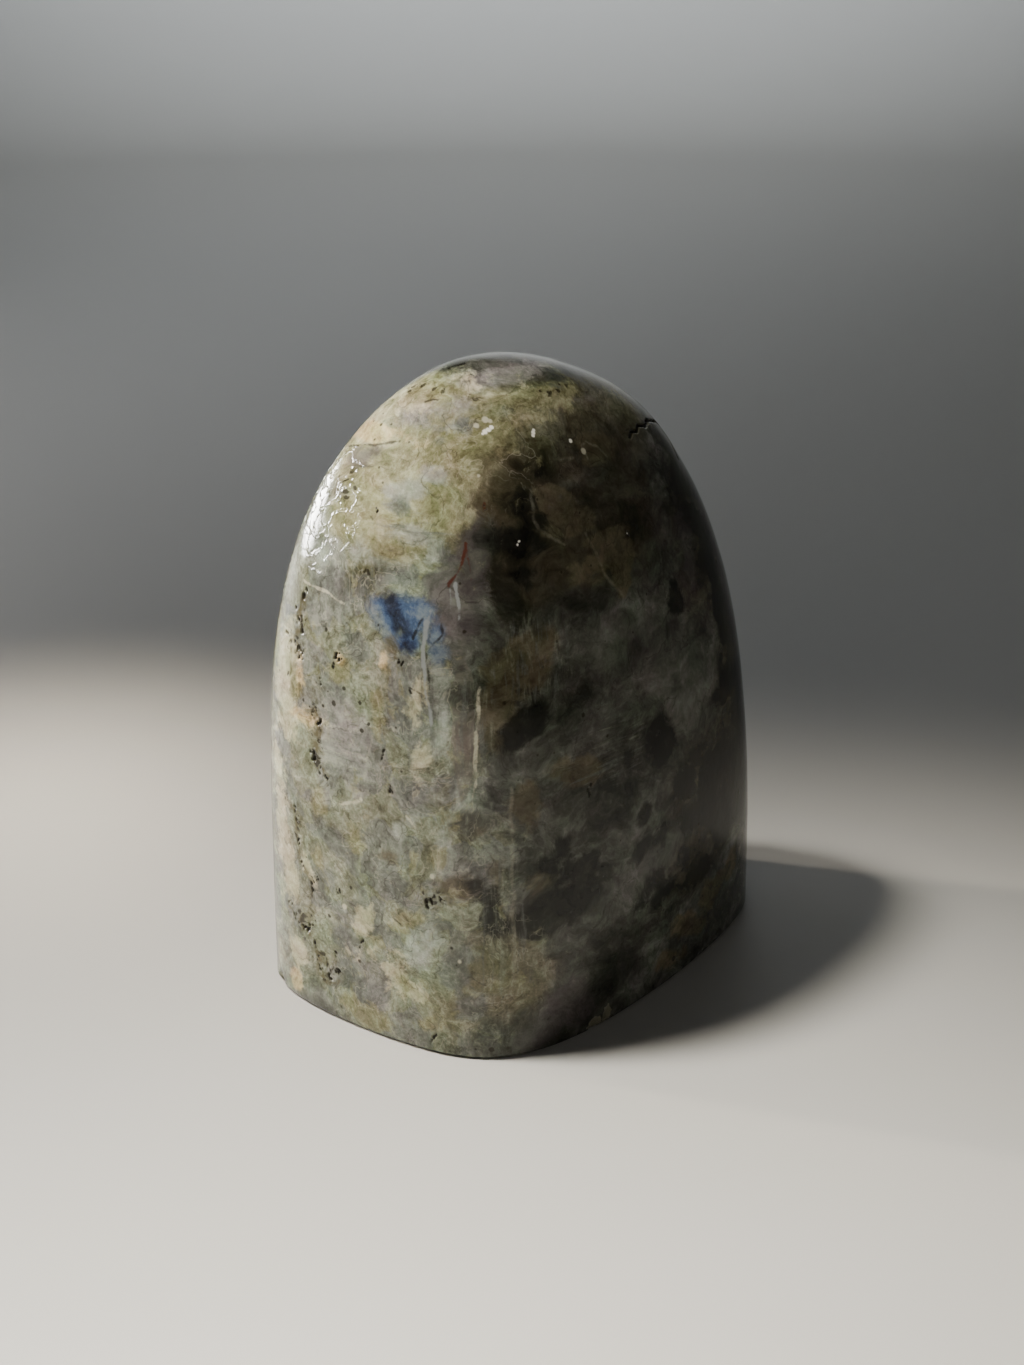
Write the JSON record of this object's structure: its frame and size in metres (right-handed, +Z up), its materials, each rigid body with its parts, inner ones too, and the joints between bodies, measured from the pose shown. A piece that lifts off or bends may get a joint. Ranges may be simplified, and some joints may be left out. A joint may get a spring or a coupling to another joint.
{
  "type": "cut-base labradorite freeform",
  "caption": "Polished labradorite stone: a rounded dome of grey-green feldspar with a blue flash, standing upright on its flat sawn foot.",
  "frame": {"origin": "middle of the sawn foot, under the middle of the stone's box", "axes": "+Z up through the dome, the stone's longest way; +Y across its thickness, from the broad polished face to the back; -X is the way the narrow face looks"},
  "size_m": [0.078, 0.0532, 0.1],
  "materials": {
    "labradorite": "polished"
  },
  "bodies": {
    "root": {"stone": "labradorite"}
  },
  "joints": []
}
